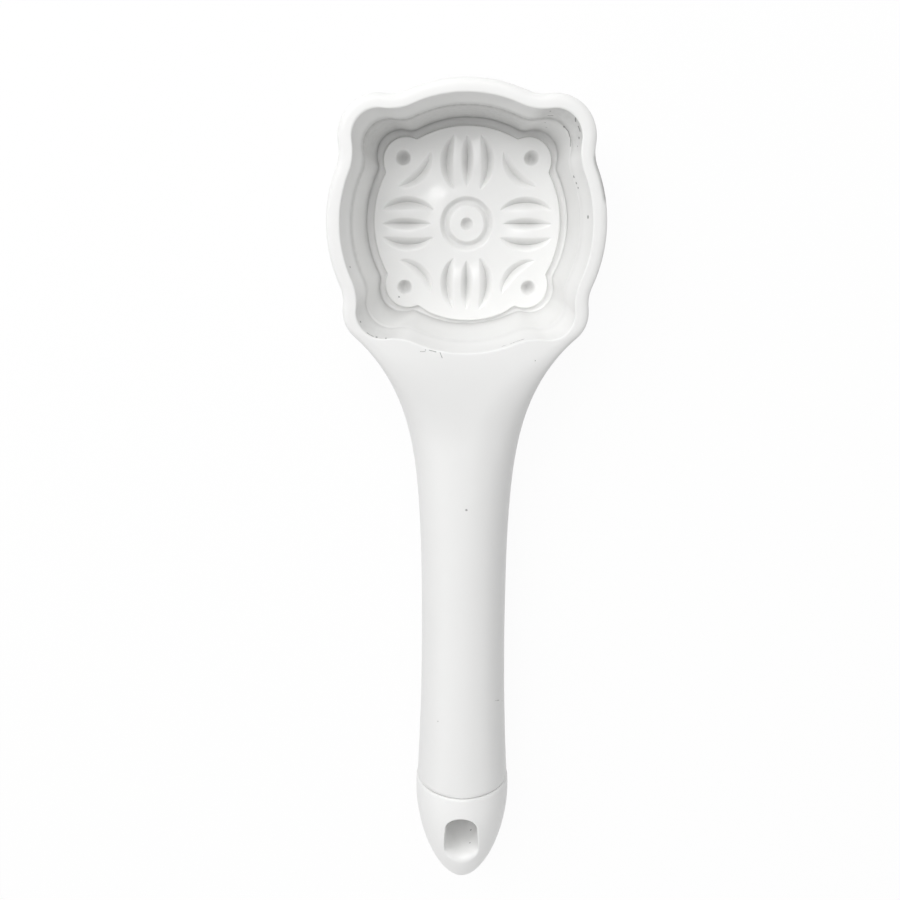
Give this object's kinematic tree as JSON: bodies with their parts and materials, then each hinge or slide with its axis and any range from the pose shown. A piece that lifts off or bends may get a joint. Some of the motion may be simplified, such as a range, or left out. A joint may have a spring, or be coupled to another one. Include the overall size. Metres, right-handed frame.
{
  "type": "maamoul mould",
  "caption": "Spoon-shaped mould for filled biscuits: a lobed cup with an engraved floor, a waisted round handle and a push-in end cap with a hanging slot.",
  "frame": {"origin": "centre of the flat back of the cup, on the surface that the mould lies on", "axes": "+Z out of the cup's mouth, -Y along the handle from the cup to the end cap, +X across the cup"},
  "size_m": [0.0672, 0.2312, 0.0288],
  "materials": {
    "white_plastic": "satin, lightly worn white polypropylene",
    "white_plastic_floor": "satin white polypropylene with an engraved pattern",
    "white_plastic_cap": "satin white polypropylene"
  },
  "bodies": {
    "mould": {"mould_body": "white_plastic", "pattern_plate": "white_plastic_floor"},
    "cap": {"end_cap": "white_plastic_cap"}
  },
  "joints": [
    {"name": "cap_pull", "type": "slide", "parent": "mould", "child": "cap", "axis": [0, -1, 0], "range_m": [0, 0.02]}
  ]
}
